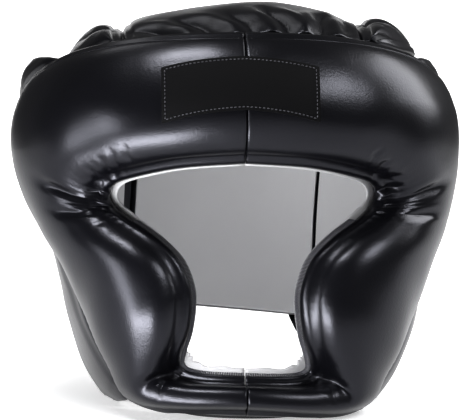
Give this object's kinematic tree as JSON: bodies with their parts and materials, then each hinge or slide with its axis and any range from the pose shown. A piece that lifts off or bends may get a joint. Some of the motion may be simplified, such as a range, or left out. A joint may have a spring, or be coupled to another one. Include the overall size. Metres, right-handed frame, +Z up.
{
  "type": "padded head guard",
  "caption": "Full-face padded head guard with a T-shaped face opening, ear openings, a padded crown, a back closure strap and a chin strap.",
  "frame": {"origin": "on the floor under the middle of the guard's box", "axes": "-Y is the way the face looks, +X is the wearer's left, +Z is up from the floor that the guard stands on"},
  "size_m": [0.251, 0.252, 0.2227],
  "materials": {
    "leather_black": "soft gloss, fine grain",
    "lining_white": "matt",
    "patch_black": "matt",
    "strap_black": "matt"
  },
  "bodies": {
    "root": {"mask_pad_left": "leather_black", "mask_pad_right": "leather_black", "mask_lining_left": "lining_white", "mask_lining_right": "lining_white", "side_panel_left": "leather_black", "side_panel_right": "leather_black", "side_lining_left": "lining_white", "side_lining_right": "lining_white", "back_panel": "leather_black", "back_lining": "lining_white", "crown_centre": "leather_black", "crown_left": "leather_black", "crown_right": "leather_black", "label_patch": "patch_black", "closure_strap": "strap_black", "chin_strap": "strap_black"}
  },
  "joints": []
}
